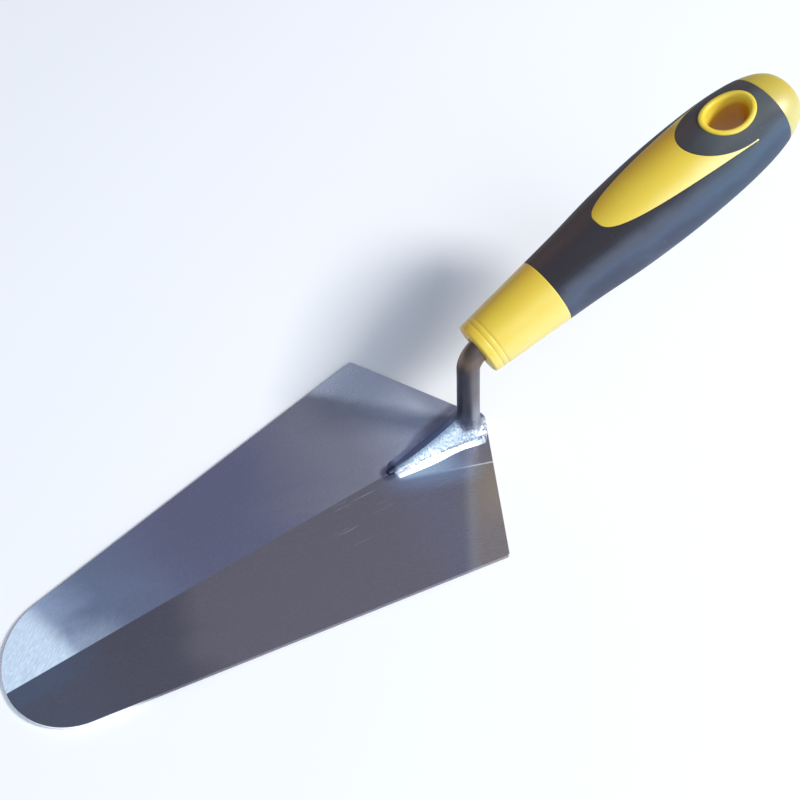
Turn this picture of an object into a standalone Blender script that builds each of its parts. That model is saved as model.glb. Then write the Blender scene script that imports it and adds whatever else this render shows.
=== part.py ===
"""A brick trowel with a 180 mm round-tipped blade, a cranked shank and a two-material handle.

Everything is drawn in millimetres in a drawing frame whose origin is the point of the heel, on
top of the blade: +X runs along the blade to its tip, +Y to one side and +Z up. One empty then
stands the whole tool on z = 0 with the middle of its plan at the origin, in metres.
"""

from math import acos, atan2, cos, pi, radians, sin, sqrt, tan

import bmesh
import bpy
from mathutils import Vector

MM = 0.001

# ---- Blade: one sheet of steel, folded a little along its middle ----
BLADE_LENGTH = 180.0  # point of the heel to the tip
BLADE_WIDTH = 97.0  # across the two heel corners
BLADE_THICKNESS = 1.5
BLADE_FOLD = radians(1.0)  # each half rises by this much from the crease
HEEL_SETBACK = 26.6  # the heel corners lie this far in front of the heel's point
TIP_RADIUS = 23.0
CORNER_RADIUS = 1.2

# ---- Shank: a round bar, forged into a wedge-shaped foot at its lower end ----
SHANK_RADIUS_FOOT = 4.05
SHANK_RADIUS_TOP = 3.85
SHANK_X = 7.4  # where the shank's axis meets the blade
SHANK_LEAN = radians(3.9)  # towards the tip
BEND_RADIUS = 8.8  # of the bar's axis
SHANK_START = 1.8  # the bar starts this far above the blade, inside the foot
TANG_DEPTH = 78.0  # the end of the bar, measured inside the handle from its front face
TANG_END_RADIUS = 2.4
TANG_TAPER = 14.0  # length of the tang's pointed end
FOOT_TOE_X = 42.0
FOOT_TOE_HALF_WIDTH = 0.9
FOOT_HEEL_X = 4.4  # where the foot is widest
FOOT_HEEL_HALF_WIDTH = 7.0
FOOT_BACK_X = 0.9
FOOT_BACK_HALF_WIDTH = 1.1
FOOT_BACK_RISE = 1.0  # of the ridge above the upright sides, at the very back
FOOT_RIDGE_X = 11.0  # the ridge leaves the bar here
FOOT_RIDGE_HEIGHT = 10.7
FOOT_RIDGE_POWER = 1.8  # how hollow the ridge's line is
FOOT_TOE_HEIGHT = 1.2
FOOT_WALL_HEEL = 2.6  # height of the foot's upright sides
FOOT_WALL_TOE = 0.8

# ---- Weld beads: one along each side of the foot ----
BEAD_REACH_HEEL = 2.2  # along the blade, at the bead's heel end
BEAD_REACH_TOE = 2.6
BEAD_RISE_HEEL = 2.0  # up the side of the foot
BEAD_RISE_TOE = 1.3
BEAD_HEEL_X = 5.6
BEAD_TOE_X = 40.4

# ---- Handle: a rigid core with a soft grip moulded over it ----
HANDLE_TILT = radians(22.1)  # of the handle's axis above the blade
HANDLE_FRONT = (6.6, 43.3)  # x and z of the middle of its front face
HANDLE_LENGTH = 128.0
FRONT_RADII = ((0.0, 9.2), (8.0, 9.95), (40.0, 12.65), (60.0, 14.75), (84.0, 15.75))
SWELL_AT = 84.0  # the thickest place; behind it the outline is a superellipse
SWELL_RADIUS = 15.75
BUTT_POWER_ALONG = 2.6
BUTT_POWER_ACROSS = 0.28
BUTT_SHARES = (0.78, 0.7, 0.6, 0.5, 0.38, 0.25, 0.12)  # of the swell's radius, at the butt's rings
ROUND_UNTIL = 30.0  # the section is a circle up to here,
OVAL_FROM = 95.0  # and from here an oval of this height to width
OVAL_RATIO = 0.90
HEIGHT_SHARE = 0.23  # how much the section's height counts in its mean radius
FRONT_CHAMFER = 0.7
GROOVES_AT = (3.0, 5.0)
GROOVE_WIDTH = 0.6
GROOVE_DEPTH = 0.22
SLEEVE_FROM = 8.0  # behind the grooves the sleeve is smooth
GRIP_START = 29.0
GRIP_END = 117.5
GRIP_THICKNESS = 2.0

# ---- Window in the grip, the same above and below, where the core comes to the surface ----
WINDOW_FRONT = 52.0
WINDOW_WIDEST = 106.0
WINDOW_HALF_WIDTH = 12.1
WINDOW_POWER_ALONG = 1.3
WINDOW_POWER_ACROSS = 1.0 / 3.0
WINDOW_CROWDING = 2.3  # packs the outline's points towards its blunt front
CRESCENT_ALONG = 18.2  # semi-axes of the oval of grip round the hanging hole
CRESCENT_ACROSS = 11.7

# ---- Hanging hole: an oval through the core, with a rounded mouth at each end ----
HOLE_AT = 104.5
HOLE_ALONG = 7.0
HOLE_ACROSS = 5.75
RIM_ALONG = 9.3
RIM_ACROSS = 7.8
MOUTH_RADIUS = 2.2
MOUTH_SWEEP = 1.35  # of the mouth's arc, in radians from the shaft
RIM_PROUD = 0.4  # the rim stands this far out of the grip

GAP = 0.3  # left between touching pieces
SECTION_SIDES = 40
BAR_SIDES = 20
CUTTER_REACH = 24.0  # half the height of the cutters that go through the handle

STEEL_BLADE = ((0.33, 0.35, 0.40), 0.30, 1.0)
STEEL_SHANK = ((0.16, 0.16, 0.18), 0.42, 1.0)
STEEL_WELD = ((0.62, 0.65, 0.70), 0.35, 1.0)
PLASTIC_YELLOW = ((0.76, 0.58, 0.08), 0.38, 0.0)
RUBBER_GREY = ((0.055, 0.058, 0.070), 0.62, 0.0)


# ---------------------------------------------------------------- shapes of the outline

def interpolate(table, x):
    """A smooth curve through a table of (x, y), with each slope taken from its neighbours."""
    def slope(i):
        low = max(i - 1, 0)
        high = min(i + 1, len(table) - 1)
        return (table[high][1] - table[low][1]) / (table[high][0] - table[low][0])

    i = 0
    while i < len(table) - 2 and x > table[i + 1][0]:
        i += 1
    (x0, y0), (x1, y1) = table[i], table[i + 1]
    span = x1 - x0
    t = (x - x0) / span
    end_slope = 0.0 if i + 1 == len(table) - 1 else slope(i + 1)
    return (
        y0 * (1 + 2 * t) * (1 - t) ** 2
        + y1 * t * t * (3 - 2 * t)
        + span * t * (1 - t) * (slope(i) * (1 - t) - end_slope * t)
    )


def handle_radius(s):
    """Mean radius of the handle at a distance s behind its front face."""
    if s <= SWELL_AT:
        return interpolate(FRONT_RADII, s)
    u = min((s - SWELL_AT) / (HANDLE_LENGTH - SWELL_AT), 1.0)
    return SWELL_RADIUS * (1 - u**BUTT_POWER_ALONG) ** BUTT_POWER_ACROSS


def butt_station(share):
    """How far back the butt has narrowed to this share of the swell's radius."""
    u = (1 - share ** (1 / BUTT_POWER_ACROSS)) ** (1 / BUTT_POWER_ALONG)
    return SWELL_AT + u * (HANDLE_LENGTH - SWELL_AT)


def handle_semi_axes(s, inset=0.0):
    """Half-height and half-width of the section at s, both less the inset."""
    t = min(max((s - ROUND_UNTIL) / (OVAL_FROM - ROUND_UNTIL), 0.0), 1.0)
    ratio = 1 - (1 - OVAL_RATIO) * t * t * (3 - 2 * t)
    width = handle_radius(s) / sqrt(1 - HEIGHT_SHARE + HEIGHT_SHARE * ratio * ratio)
    return width * ratio - inset, width - inset


def section(s, inset=0.0, at=None):
    """A ring of points round the handle at s, in the handle's own frame (x up, y across, z back)."""
    height, width = handle_semi_axes(s, inset)
    turns = (2 * pi * i / SECTION_SIDES for i in range(SECTION_SIDES))
    return [Vector((height * cos(a), width * sin(a), s if at is None else at)) for a in turns]


def spread(start, end, count):
    return [start + (end - start) * i / (count - 1) for i in range(count)]


def blade_outline():
    """Half of the blade's plan, from the heel's point round the corner to the tip."""
    corner = Vector((HEEL_SETBACK, BLADE_WIDTH / 2))
    centre = Vector((BLADE_LENGTH - TIP_RADIUS, 0.0))
    away = corner - centre
    tangent_turn = atan2(away.y, away.x) - acos(TIP_RADIUS / away.length)
    tangent = centre + TIP_RADIUS * Vector((cos(tangent_turn), sin(tangent_turn)))
    back = -corner.normalized()
    ahead = (tangent - corner).normalized()
    inward = (back + ahead).normalized()
    sweep = (pi - back.angle(ahead)) / 2
    rounding = corner + inward * (CORNER_RADIUS / cos(sweep))
    sideways = Vector((-inward.y, inward.x))
    points = [Vector((0.0, 0.0))]
    for a in spread(-sweep, sweep, 5):
        points.append(rounding + (sideways * sin(a) - inward * cos(a)) * CORNER_RADIUS)
    for turn in spread(tangent_turn, 0.0, 15):
        points.append(centre + TIP_RADIUS * Vector((cos(turn), sin(turn))))
    return points


def blade_top(y):
    return abs(y) * tan(BLADE_FOLD)


def foot_half_width(x):
    if x < FOOT_HEEL_X:
        t = (x - FOOT_BACK_X) / (FOOT_HEEL_X - FOOT_BACK_X)
        return FOOT_BACK_HALF_WIDTH + t * (FOOT_HEEL_HALF_WIDTH - FOOT_BACK_HALF_WIDTH)
    t = (x - FOOT_HEEL_X) / (FOOT_TOE_X - FOOT_HEEL_X)
    return FOOT_HEEL_HALF_WIDTH + t * (FOOT_TOE_HALF_WIDTH - FOOT_HEEL_HALF_WIDTH)


def foot_wall_height(x):
    t = (x - FOOT_BACK_X) / (FOOT_TOE_X - FOOT_BACK_X)
    return FOOT_WALL_HEEL + t * (FOOT_WALL_TOE - FOOT_WALL_HEEL)


def foot_ridge_height(x):
    if x < FOOT_RIDGE_X:
        t = (x - FOOT_BACK_X) / (FOOT_RIDGE_X - FOOT_BACK_X)
        start = FOOT_WALL_HEEL + FOOT_BACK_RISE
        return start + t * (FOOT_RIDGE_HEIGHT - start)
    u = (FOOT_TOE_X - x) / (FOOT_TOE_X - FOOT_RIDGE_X)
    return FOOT_TOE_HEIGHT + (FOOT_RIDGE_HEIGHT - FOOT_TOE_HEIGHT) * u**FOOT_RIDGE_POWER


def bar_axis():
    """Points along the bar's axis, from the foot round the bend into the handle, and its radii."""
    front = Vector((HANDLE_FRONT[0], 0.0, HANDLE_FRONT[1]))
    foot = Vector((SHANK_X, 0.0, 0.0))
    up = Vector((sin(SHANK_LEAN), 0.0, cos(SHANK_LEAN)))
    along = Vector((-cos(HANDLE_TILT), 0.0, sin(HANDLE_TILT)))
    # The two straight axes cross at the knee, a distance `rise` up the shank.
    rise = ((front - foot).cross(along)).y / up.cross(along).y
    knee = foot + up * rise
    turn = up.angle(along)
    tangent = BEND_RADIUS * tan(turn / 2)
    inward = (along - up * up.dot(along)).normalized()
    centre = knee - up * tangent + inward * BEND_RADIUS
    points = [foot + up * SHANK_START, foot + up * (rise - tangent) / 2]
    points += [centre + (up * sin(a) - inward * cos(a)) * BEND_RADIUS for a in spread(0.0, turn, 9)]
    points += [front + along * s for s in (TANG_DEPTH / 2, TANG_DEPTH - TANG_TAPER, TANG_DEPTH)]
    radii = [SHANK_RADIUS_FOOT, (SHANK_RADIUS_FOOT + SHANK_RADIUS_TOP) / 2]
    radii += [SHANK_RADIUS_TOP] * (len(points) - 3) + [TANG_END_RADIUS]
    return points, radii


# ---------------------------------------------------------------- making objects

def material(name, look):
    colour, roughness, metallic = look
    made = bpy.data.materials.new(name)
    made.use_nodes = True
    shader = made.node_tree.nodes["Principled BSDF"]
    shader.inputs["Base Color"].default_value = (*colour, 1.0)
    shader.inputs["Roughness"].default_value = roughness
    shader.inputs["Metallic"].default_value = metallic
    return made


def add_object(name, bm, parent, look=None, smooth=False):
    """Finishes a mesh drawn in millimetres. With no look it is a cutter, which is never rendered."""
    bmesh.ops.recalc_face_normals(bm, faces=bm.faces)
    if bm.calc_volume(signed=True) < 0:
        bmesh.ops.reverse_faces(bm, faces=bm.faces)
    bmesh.ops.scale(bm, vec=(MM, MM, MM), verts=bm.verts)
    mesh = bpy.data.meshes.new(name)
    bm.to_mesh(mesh)
    bm.free()
    made = bpy.data.objects.new(name, mesh)
    made.parent = parent
    bpy.context.scene.collection.objects.link(made)
    if look is None:
        made.hide_render = True
        made.display_type = "WIRE"
    else:
        mesh.materials.append(material(name, look))
    if smooth:
        mesh.shade_smooth()
        mesh.set_sharp_from_angle(angle=radians(35))
    return made


def loft(rings, closed=False):
    """Skins a row of rings of equal counts, capped at both ends or, if closed, joined end to end."""
    bm = bmesh.new()
    rows = [[bm.verts.new(point) for point in ring] for ring in rings]
    pairs = list(zip(rows, rows[1:]))
    if closed:
        pairs.append((rows[-1], rows[0]))
    else:
        bm.faces.new(rows[0])
        bm.faces.new(rows[-1])
    for low, high in pairs:
        for i in range(len(low)):
            j = (i + 1) % len(low)
            bm.faces.new((low[i], low[j], high[j], high[i]))
    return bm


def prism(outline, low, high):
    """An outline of (along, across) pairs in the handle's frame, raised from low to high."""
    return loft([[Vector((x, y, s)) for s, y in outline] for x in (low, high)])


def bar_rings(points, radii, grow=0.0):
    """Rings round the bar's axis, which lies in the plane y = 0."""
    rings = []
    for i, point in enumerate(points):
        ahead = points[min(i + 1, len(points) - 1)] - points[max(i - 1, 0)]
        across = Vector((0.0, 1.0, 0.0))
        out = ahead.normalized().cross(across)
        radius = radii[i] + grow
        turns = (2 * pi * (k + 0.5) / BAR_SIDES for k in range(BAR_SIDES))
        rings.append([point + (across * cos(a) + out * sin(a)) * radius for a in turns])
    return rings


def combine(target, operation, other):
    step = target.modifiers.new(other.name, "BOOLEAN")
    step.operation = operation
    step.object = other
    step.solver = "EXACT"


# ---------------------------------------------------------------- the pieces

def add_blade(parent):
    half = blade_outline()
    bm = bmesh.new()
    layers = []
    for drop in (0.0, BLADE_THICKNESS):
        left = [bm.verts.new((p.x, p.y, blade_top(p.y) - drop)) for p in half]
        right = [bm.verts.new((p.x, -p.y, blade_top(p.y) - drop)) for p in half[1:-1]]
        right = [left[0], *right, left[-1]]
        bm.faces.new(left)
        bm.faces.new(right)
        layers.append((left, right))
    for side in (0, 1):
        top, bottom = layers[0][side], layers[1][side]
        for i in range(len(top) - 1):
            bm.faces.new((top[i], top[i + 1], bottom[i + 1], bottom[i]))
    return add_object("blade", bm, parent, STEEL_BLADE)


def foot_section(x):
    """The foot's outline across the blade at x: upright sides under two sloping flanks."""
    width = foot_half_width(x)
    wall = foot_wall_height(x)
    shoulder = blade_top(width)
    side = [(width, shoulder + GAP), (width, shoulder + wall)]
    mirrored = [(-y, z) for y, z in reversed(side)]
    outline = [(0.0, GAP), *side, (0.0, foot_ridge_height(x)), *mirrored]
    return [Vector((x, y, z)) for y, z in outline]


def add_shank(parent):
    stations = [FOOT_BACK_X, FOOT_HEEL_X, *spread(FOOT_RIDGE_X, FOOT_TOE_X, 9)]
    foot = add_object("foot_forging", loft([foot_section(x) for x in stations]), parent)
    points, radii = bar_axis()
    shank = add_object("shank", loft(bar_rings(points, radii)), parent, STEEL_SHANK, smooth=True)
    combine(shank, "UNION", foot)
    return shank


def bead_section(x, side):
    """A bulged fillet between the foot's upright side and the blade."""
    t = (x - BEAD_HEEL_X) / (BEAD_TOE_X - BEAD_HEEL_X)
    reach = BEAD_REACH_HEEL + t * (BEAD_REACH_TOE - BEAD_REACH_HEEL)
    rise = BEAD_RISE_HEEL + t * (BEAD_RISE_TOE - BEAD_RISE_HEEL)
    inner = foot_half_width(x) + GAP
    points = [(inner, 0.0)]
    for turn in spread(0.0, pi / 2, 5):
        points.append((inner + reach * cos(turn), rise * sin(turn)))
    return [Vector((x, side * y, blade_top(y) + GAP + z)) for y, z in points]


def add_weld_bead(name, side, parent):
    rings = [bead_section(x, side) for x in spread(BEAD_HEEL_X, BEAD_TOE_X, 9)]
    return add_object(name, loft(rings), parent, STEEL_WELD, smooth=True)


def window_outline(grow):
    """The window seen from above: blunt in front, with two horns that reach past the hanging hole."""
    widest = WINDOW_HALF_WIDTH + grow
    front = WINDOW_FRONT - grow
    along = CRESCENT_ALONG - grow
    across = CRESCENT_ACROSS - grow

    def half_width(s):
        u = (WINDOW_WIDEST - s) / (WINDOW_WIDEST - front)
        return widest * (1 - max(u, 0.0) ** WINDOW_POWER_ALONG) ** WINDOW_POWER_ACROSS

    shares = [t**WINDOW_CROWDING for t in spread(0.0, 1.0, 12)]
    stations = [front + (WINDOW_WIDEST - front) * t for t in shares]
    side = [(s, half_width(s)) for s in stations]
    turns = spread(acos((WINDOW_WIDEST - HOLE_AT) / along), pi, 11)
    back = [(HOLE_AT + along * cos(a), across * sin(a)) for a in turns]
    half = side + back
    return half + [(s, -y) for s, y in reversed(half[1:-1])]


def oval(along, across, count=36):
    turns = (2 * pi * i / count for i in range(count))
    return [(HOLE_AT + along * cos(a), across * sin(a)) for a in turns]


def grip_stations():
    return spread(GRIP_START, GRIP_END, 15)


def core_rings():
    """Rings of the core: the sleeve with its grooves, the waist under the grip, and the butt."""
    rings = [section(0.0, FRONT_CHAMFER), section(FRONT_CHAMFER)]
    for middle in GROOVES_AT:
        rings.append(section(middle - GROOVE_WIDTH / 2))
        rings.append(section(middle, GROOVE_DEPTH))
        rings.append(section(middle + GROOVE_WIDTH / 2))
    rings += [section(s) for s in spread(SLEEVE_FROM, GRIP_START, 4)]
    rings += [section(s, GRIP_THICKNESS) for s in grip_stations()]
    rings.append(section(GRIP_END))
    rings += [section(butt_station(share)) for share in BUTT_SHARES]
    return rings


def add_hole_cutter(parent):
    """A vertical oval shaft that flares at both mouths."""
    mouth = handle_semi_axes(HOLE_AT)[0] + RIM_PROUD
    inner = mouth - MOUTH_RADIUS
    flares = []
    for a in spread(0.0, MOUTH_SWEEP, 5):
        flares.append((inner + MOUTH_RADIUS * sin(a), MOUTH_RADIUS * (1 - cos(a))))
    flares.append((CUTTER_REACH, flares[-1][1]))
    levels = [(-x, flare) for x, flare in reversed(flares)] + flares
    stretch = (RIM_ACROSS - HOLE_ACROSS) / (RIM_ALONG - HOLE_ALONG)
    rings = []
    for x, flare in levels:
        outline = oval(HOLE_ALONG + flare, HOLE_ACROSS + flare * stretch)
        rings.append([Vector((x, y, s)) for s, y in outline])
    return add_object("hanging_hole_cutter", loft(rings), parent)


def add_handle(trowel):
    frame = bpy.data.objects.new("handle_frame", None)
    frame.parent = trowel
    frame.location = (HANDLE_FRONT[0] * MM, 0.0, HANDLE_FRONT[1] * MM)
    frame.rotation_euler = (0.0, HANDLE_TILT - pi / 2, 0.0)
    bpy.context.scene.collection.objects.link(frame)

    stations = grip_stations()
    land = add_object("window_land", loft([section(s) for s in stations]), frame)
    land_outline = prism(window_outline(-GAP / 2), -CUTTER_REACH, CUTTER_REACH)
    combine(land, "INTERSECT", add_object("window_land_outline", land_outline, frame))

    rim = add_object("rim", loft([section(s, -RIM_PROUD) for s in stations]), frame)
    rim_outline = prism(oval(RIM_ALONG, RIM_ACROSS), -CUTTER_REACH, CUTTER_REACH)
    combine(rim, "INTERSECT", add_object("rim_outline", rim_outline, frame))

    points, radii = bar_axis()
    bore = add_object("tang_bore_cutter", loft(bar_rings(points, radii, GAP)), trowel)

    core = add_object("handle_core", loft(core_rings()), frame, PLASTIC_YELLOW, smooth=True)
    combine(core, "UNION", land)
    combine(core, "UNION", rim)
    combine(core, "DIFFERENCE", bore)
    combine(core, "DIFFERENCE", add_hole_cutter(frame))

    ends = (GRIP_START + GAP, GRIP_END - GAP)
    middle = stations[1:-1]
    outside = [section(ends[0]), *(section(s) for s in middle), section(ends[1])]
    depth = GRIP_THICKNESS - GAP
    inside = [section(ends[1], depth), *(section(s, depth) for s in reversed(middle))]
    inside.append(section(ends[0], depth))
    grip = add_object("grip", loft(outside + inside, closed=True), frame, RUBBER_GREY, smooth=True)
    window = prism(window_outline(GAP / 2), -CUTTER_REACH, CUTTER_REACH)
    combine(grip, "DIFFERENCE", add_object("window_cutter", window, frame))
    hole = prism(oval(RIM_ALONG + GAP, RIM_ACROSS + GAP), -CUTTER_REACH, CUTTER_REACH)
    combine(grip, "DIFFERENCE", add_object("grip_hole_cutter", hole, frame))


def rearmost():
    """The drawing frame's lowest x, on the underside of the butt."""
    reaches = []
    for s in spread(SWELL_AT, HANDLE_LENGTH, 441):
        reaches.append(s * cos(HANDLE_TILT) + handle_semi_axes(s)[0] * sin(HANDLE_TILT))
    return HANDLE_FRONT[0] - max(reaches)


def main():
    for old in list(bpy.data.objects):
        bpy.data.objects.remove(old)
    trowel = bpy.data.objects.new("trowel", None)
    trowel.location = (-(BLADE_LENGTH + rearmost()) / 2 * MM, 0.0, BLADE_THICKNESS * MM)
    bpy.context.scene.collection.objects.link(trowel)
    add_blade(trowel)
    add_shank(trowel)
    add_weld_bead("weld_bead_left", 1, trowel)
    add_weld_bead("weld_bead_right", -1, trowel)
    add_handle(trowel)


main()
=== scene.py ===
"""The looks of a brick trowel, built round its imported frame.

Shapes are drawn in millimetres in the drawing frame of the part: the origin is the point of the
heel on top of the blade, +X runs to the tip, +Y to its left side and +Z up. HEEL places that frame.
The handle has coordinates of its own: s runs along its axis from the front face to the butt, up
and across run square to it, and turn is the angle round it from straight up towards +Y.
"""

from math import acos, asin, atan2, ceil, cos, exp, pi, radians, sin, sqrt, tan

import bpy
import numpy as np
from mathutils import Matrix, Vector, noise
from mathutils.geometry import delaunay_2d_cdt


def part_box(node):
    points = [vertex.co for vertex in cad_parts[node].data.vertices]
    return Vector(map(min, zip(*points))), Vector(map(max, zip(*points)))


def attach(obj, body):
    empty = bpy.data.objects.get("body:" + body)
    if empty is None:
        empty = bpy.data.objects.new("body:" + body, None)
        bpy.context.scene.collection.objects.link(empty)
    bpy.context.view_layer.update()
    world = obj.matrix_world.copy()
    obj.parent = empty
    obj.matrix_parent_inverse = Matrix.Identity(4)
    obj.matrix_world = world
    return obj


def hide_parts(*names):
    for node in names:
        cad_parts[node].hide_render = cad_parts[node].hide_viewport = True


MM = 0.001

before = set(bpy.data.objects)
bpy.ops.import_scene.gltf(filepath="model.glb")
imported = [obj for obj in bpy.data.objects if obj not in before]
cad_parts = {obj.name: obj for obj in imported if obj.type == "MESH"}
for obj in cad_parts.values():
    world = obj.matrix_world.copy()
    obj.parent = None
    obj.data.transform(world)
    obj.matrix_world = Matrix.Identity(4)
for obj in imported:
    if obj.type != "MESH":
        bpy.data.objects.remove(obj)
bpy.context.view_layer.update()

# ---- Blade ----
BLADE_THICKNESS = 1.5
TIP_RADIUS = 23.0
HEEL_SETBACK = 26.6
BLADE_WIDTH = 96.98  # across the heel corners before they are rounded
CORNER_RADIUS = 1.2
EDGE_RADIUS = 0.22  # the worn edge of the sheet
CREASE_SLOPE = tan(radians(2.5))  # each half is hollow: steepest at the crease
RIM_SLOPE = 0.0085
HOLLOW_REACH = 12.0
PLAN_SIZE = (136.0, 54.0)  # how long and how wide one half of the plan is, roughly
PLAN_STEP = 1.3
EDGE_ROWS = (0.0, 0.04, 0.1, 0.19, 0.32, 0.55, 0.9, 1.4)  # points stand close together at an edge
CREASE_ROWS = (0.0, 0.25, 0.8)

# ---- Shank and its forged foot ----
SHANK_RADIUS_FOOT = 4.05
SHANK_RADIUS_TOP = 3.85
SHANK_TAPER = 30.0  # the length over which the bar gets thinner
SHANK_X = 7.4
SHANK_LEAN = radians(3.9)
SHANK_START = 1.5
BEND_RADIUS = 8.8
TANG_DEPTH = 78.0
TANG_END_RADIUS = 2.4
TANG_TAPER = 14.0
FOOT_TOE_X = 42.0
FOOT_TOE_HALF_WIDTH = 0.9
FOOT_HEEL_X = 4.4
FOOT_HEEL_HALF_WIDTH = 7.0
FOOT_BACK_X = 0.9
FOOT_BACK_HALF_WIDTH = 1.1
FOOT_RIDGE_X = 11.0
FOOT_RIDGE_HEIGHT = 10.7
FOOT_RIDGE_POWER = 1.8
FOOT_BACK_POWER = 1.7
FOOT_TOE_HEIGHT = 1.2
FOOT_WALL_HEEL = 2.6
FOOT_WALL_TOE = 0.8
FOOT_BACK_HEIGHT = 2.8
FOOT_SUNK = 0.6  # the foot reaches this far below the top of the blade
FOOT_ROUNDING = 0.16
FLOOR_ROUNDING = 0.12
ROOT_BLEND = 2.2  # the hollow where the bar grows out of the foot
ROUGH_RADIUS = 3.9
ROUGH_SIDES = 16
ROUGH_VOXEL = 0.32
SPATTER_TOP = 14.0
PROBE = 0.02  # the step that slopes of a field are measured over

# ---- Weld beads, by their side: 1 for the left one, -1 for the right one ----
BEAD_STATIONS = 230
BEAD_TURNS = 18
BEAD_REACH_HEEL = 2.5  # along the blade, from the foot's upright side
BEAD_REACH_TOE = 2.9
BEAD_HEEL_X = 5.6
BEAD_TOE_X = 40.2
BEAD_TOE_PAST = {1: 0.0, -1: 1.4}
BEAD_HEEL_ROUNDING = 1.3
BEAD_TOE_ROUNDING = {1: 0.9, -1: 3.0}
BEAD_RAGGED = {1: 1.0, -1: 0.15}
BEAD_GROUND_X = 9.5  # from here to the toe the bead is ground flat
BEAD_TILTS = (radians(45.0), radians(34.0), radians(21.0))  # at the heel, where it is ground, at the toe
BEAD_FLATTENS_X = (26.0, 40.0)
BEAD_WAIST_X = 16.0  # the left bead is ground narrowest here
BEAD_WAIST = 1.0
BEAD_WAIST_SPAN = 7.5

# ---- Handle ----
HANDLE_TILT = radians(22.1)
HANDLE_FRONT = (6.6, 43.3)
HANDLE_LENGTH = 128.0
FRONT_RADII = ((0.0, 9.2), (8.0, 9.95), (40.0, 12.65), (60.0, 14.75), (84.0, 15.75))
SWELL_AT = 84.0
SWELL_RADIUS = 15.75
BUTT_POWER_ALONG = 2.6
BUTT_POWER_ACROSS = 0.28
ROUND_UNTIL = 30.0
OVAL_FROM = 95.0
OVAL_RATIO = 0.90
HEIGHT_SHARE = 0.23  # how much the section's height counts in its mean radius
FRONT_CHAMFER = 0.7
GROOVES_AT = (3.0, 5.0)
GROOVE_WIDTH = 0.45
GROOVE_DEPTH = 0.10
GRIP_START = 29.0
GRIP_END = 117.5
GRIP_THICKNESS = 2.0
WINDOW_FRONT = 52.0
WINDOW_WIDEST = 106.0
WINDOW_HALF_WIDTH = 12.1
WINDOW_POWER_ALONG = 1.3
WINDOW_POWER_ACROSS = 1.0 / 3.0
WINDOW_STEP = 0.5
CRESCENT_ALONG = 18.2
CRESCENT_ACROSS = 11.7
HOLE_AT = 104.5
HOLE_ALONG = 7.0
HOLE_ACROSS = 5.75
HOLE_STEP = 0.4
RIM_WIDTH = 2.3  # of the hole's rim, along the handle
RIM_STRETCH = 2.05 / RIM_WIDTH  # its width across the handle over that
RIM_PROUD = 0.4
SKIN = 0.05  # the finished surface lies this far inside the drawn one
REFERENCE_RADIUS = 14.0  # turns are unrolled at this radius while a skin is drawn flat
SKIN_STEP = 1.25
LIP_ROWS = (0.12, 0.3, 0.55, 0.85, 1.6)  # where points follow a rolled edge, over its radius
HANDLE_SIDES = 128
EYELET_SIDES = 132
CUTTER_REACH = 24.0

# ---- Camera, in the drawing frame ----
FOCAL_SHARE = 970.945 / 800.0  # focal length over the width of the frame
CAMERA_AT = (136.72, 149.69, 285.73)
CAMERA_RIGHT = (-0.8323, 0.5541, -0.0170)
CAMERA_DOWN = (0.4563, 0.6675, -0.5884)
CAMERA_SHIFT = (0.0180, 0.0018)
SENSOR = 36.0

blade_low, blade_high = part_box("blade")
BLADE_LENGTH = (blade_high.x - blade_low.x) / MM
HEEL = Vector((blade_low.x, 0.0, blade_low.z + BLADE_THICKNESS * MM))


# ---------------------------------------------------------------- small helpers

def between(a, b, t):
    return a + (b - a) * t


def spread(start, end, count):
    return [start + (end - start) * i / (count - 1) for i in range(count)]


def smoothstep(t):
    t = min(max(t, 0.0), 1.0)
    return t * t * (3 - 2 * t)


def handle_point(up, across, s):
    """From the handle's own coordinates to the drawing frame."""
    x = HANDLE_FRONT[0] - s * cos(HANDLE_TILT) + up * sin(HANDLE_TILT)
    z = HANDLE_FRONT[1] + s * sin(HANDLE_TILT) + up * cos(HANDLE_TILT)
    return (x, across, z)


def new_object(name, points, faces):
    mesh = bpy.data.meshes.new(name)
    mesh.from_pydata(points, [], faces)
    made = bpy.data.objects.new(name, mesh)
    bpy.context.scene.collection.objects.link(made)
    return made


def placed(points):
    """From the drawing frame in millimetres to the scene."""
    return [HEEL + Vector(p) * MM for p in points]


def add_piece(name, points, faces, material, node, slot, sharp=50):
    """Makes a piece from points in the drawing frame and hangs it on the tool."""
    piece = new_object(name, placed(points), faces)
    piece.data.validate()
    piece.data.materials.append(material)
    piece.data.shade_smooth()
    piece.data.set_sharp_from_angle(angle=radians(sharp))
    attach(piece, "root")
    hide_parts(node)
    return piece


def tube(rings, sides, first=0, flip=False, closed=False):
    """Quads between rings of points. An open tube has a cap at each end, a closed one runs on."""
    faces = []
    for i in range(rings if closed else rings - 1):
        low, high = first + i * sides, first + (i + 1) % rings * sides
        for k in range(sides):
            n = (k + 1) % sides
            turned_in = (low + k, high + k, high + n, low + n)
            faces.append(turned_in if flip else (low + k, low + n, high + n, high + k))
    if not closed:
        last = first + (rings - 1) * sides
        caps = [tuple(range(first, first + sides)), tuple(range(last, last + sides))[::-1]]
        faces += caps if flip else [cap[::-1] for cap in caps]
    return faces


def distance_to_loops(points, loops):
    """The distance of each 2-D point to the nearest of several outlines, open or closed."""
    best = np.full(len(points), np.inf)
    at_once = 2000
    for loop in loops:
        start, end = loop[:-1], loop[1:]
        run = end - start
        length2 = (run**2).sum(1) + 1e-12
        for first in range(0, len(points), at_once):
            some = slice(first, first + at_once)
            away = points[some][:, None, :] - start[None]
            t = np.clip((away * run[None]).sum(2) / length2[None], 0, 1)
            gap = away - t[..., None] * run[None]
            best[some] = np.minimum(best[some], np.sqrt((gap**2).sum(2).min(1)))
    return best


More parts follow.
